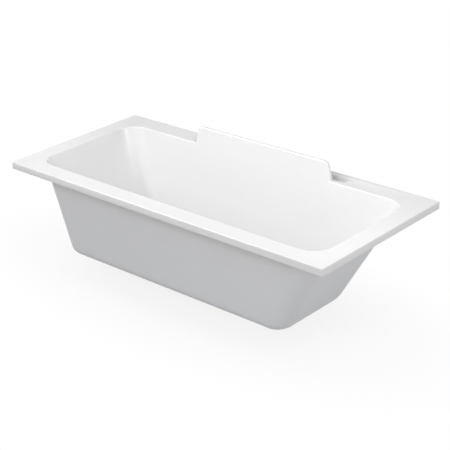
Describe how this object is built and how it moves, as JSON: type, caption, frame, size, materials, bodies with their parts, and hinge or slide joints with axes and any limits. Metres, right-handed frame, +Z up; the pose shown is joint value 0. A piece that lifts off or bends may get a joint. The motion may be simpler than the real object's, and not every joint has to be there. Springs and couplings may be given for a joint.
{
  "type": "acrylic bathtub",
  "caption": "Built-in rectangular acrylic bath with a flat deck, one sloping back rest, a raised grip panel on the wall side, adjustable feet and a lift-up plug over a shallow trap.",
  "frame": {"origin": "on the floor under the rubber soles, below the middle of the rim", "axes": "+Z up, +X along the rim to the sloping head end, +Y to the wall side with the raised panel"},
  "size_m": [1.8, 0.8, 0.63],
  "materials": {
    "white_acrylic": "gloss",
    "glass_fibre": "matte",
    "pale_timber": "sawn",
    "board": "sanded",
    "zinc_steel": "zinc plated",
    "dark_plastic": "matte",
    "black_rubber": "matte",
    "chrome": "polished",
    "brass": "turned",
    "white_pipe": "satin"
  },
  "bodies": {
    "bath": {"acrylic_shell": "white_acrylic", "fibreglass_backing": "glass_fibre", "upstand_core": "glass_fibre", "rim_batten_front": "pale_timber", "rim_batten_back": "pale_timber", "rim_batten_foot": "pale_timber", "rim_batten_head": "pale_timber", "base_board": "board", "cradle_foot": "zinc_steel", "cradle_head": "zinc_steel", "cradle_screws_foot": "zinc_steel", "cradle_screws_head": "zinc_steel", "waste_flange": "chrome", "flange_seal": "black_rubber", "lower_seal": "black_rubber", "waste_backnut": "white_pipe", "trap_body": "white_pipe", "trap_nut": "white_pipe", "trap_washer": "black_rubber", "outlet_pipe": "white_pipe", "outlet_nut": "white_pipe", "outlet_seal": "black_rubber", "weld_nut_foot_front": "zinc_steel", "jam_nut_foot_front": "zinc_steel", "weld_nut_foot_back": "zinc_steel", "jam_nut_foot_back": "zinc_steel", "weld_nut_head_front": "zinc_steel", "jam_nut_head_front": "zinc_steel", "weld_nut_head_back": "zinc_steel", "jam_nut_head_back": "zinc_steel"},
    "plug": {"plug_cap": "chrome", "plug_seal": "black_rubber", "plug_stem": "brass", "stem_clip": "zinc_steel"},
    "pad_foot_front": {"foot_pad_foot_front": "dark_plastic", "foot_sole_foot_front": "black_rubber"},
    "screw_foot_front": {"foot_screw_foot_front": "zinc_steel"},
    "pad_foot_back": {"foot_pad_foot_back": "dark_plastic", "foot_sole_foot_back": "black_rubber"},
    "screw_foot_back": {"foot_screw_foot_back": "zinc_steel"},
    "pad_head_front": {"foot_pad_head_front": "dark_plastic", "foot_sole_head_front": "black_rubber"},
    "screw_head_front": {"foot_screw_head_front": "zinc_steel"},
    "pad_head_back": {"foot_pad_head_back": "dark_plastic", "foot_sole_head_back": "black_rubber"},
    "screw_head_back": {"foot_screw_head_back": "zinc_steel"}
  },
  "joints": [
    {"name": "plug_lift", "type": "slide", "parent": "bath", "child": "plug", "axis": [0, 0, 1], "range_m": [0, 0.008]},
    {"name": "level_foot_front", "type": "slide", "parent": "bath", "child": "pad_foot_front", "axis": [0, 0, 1], "range_m": [-0.018, 0.005]},
    {"name": "turn_foot_front", "type": "hinge", "parent": "pad_foot_front", "child": "screw_foot_front", "pos_m": [-0.552, -0.097, 0.04], "axis": [0, 0, 1], "range_deg": [-3707, 1033]},
    {"name": "level_foot_back", "type": "slide", "parent": "bath", "child": "pad_foot_back", "axis": [0, 0, 1], "range_m": [-0.018, 0.005]},
    {"name": "turn_foot_back", "type": "hinge", "parent": "pad_foot_back", "child": "screw_foot_back", "pos_m": [-0.552, 0.079, 0.04], "axis": [0, 0, 1], "range_deg": [-3707, 1033]},
    {"name": "level_head_front", "type": "slide", "parent": "bath", "child": "pad_head_front", "axis": [0, 0, 1], "range_m": [-0.018, 0.005]},
    {"name": "turn_head_front", "type": "hinge", "parent": "pad_head_front", "child": "screw_head_front", "pos_m": [0.4, -0.097, 0.04], "axis": [0, 0, 1], "range_deg": [-3707, 1033]},
    {"name": "level_head_back", "type": "slide", "parent": "bath", "child": "pad_head_back", "axis": [0, 0, 1], "range_m": [-0.018, 0.005]},
    {"name": "turn_head_back", "type": "hinge", "parent": "pad_head_back", "child": "screw_head_back", "pos_m": [0.4, 0.079, 0.04], "axis": [0, 0, 1], "range_deg": [-3707, 1033]}
  ],
  "couplings": [
    {"joint": "turn_foot_front", "follows": "level_foot_front", "rad_per_m": 3590.4},
    {"joint": "turn_foot_back", "follows": "level_foot_back", "rad_per_m": 3590.4},
    {"joint": "turn_head_front", "follows": "level_head_front", "rad_per_m": 3590.4},
    {"joint": "turn_head_back", "follows": "level_head_back", "rad_per_m": 3590.4}
  ]
}
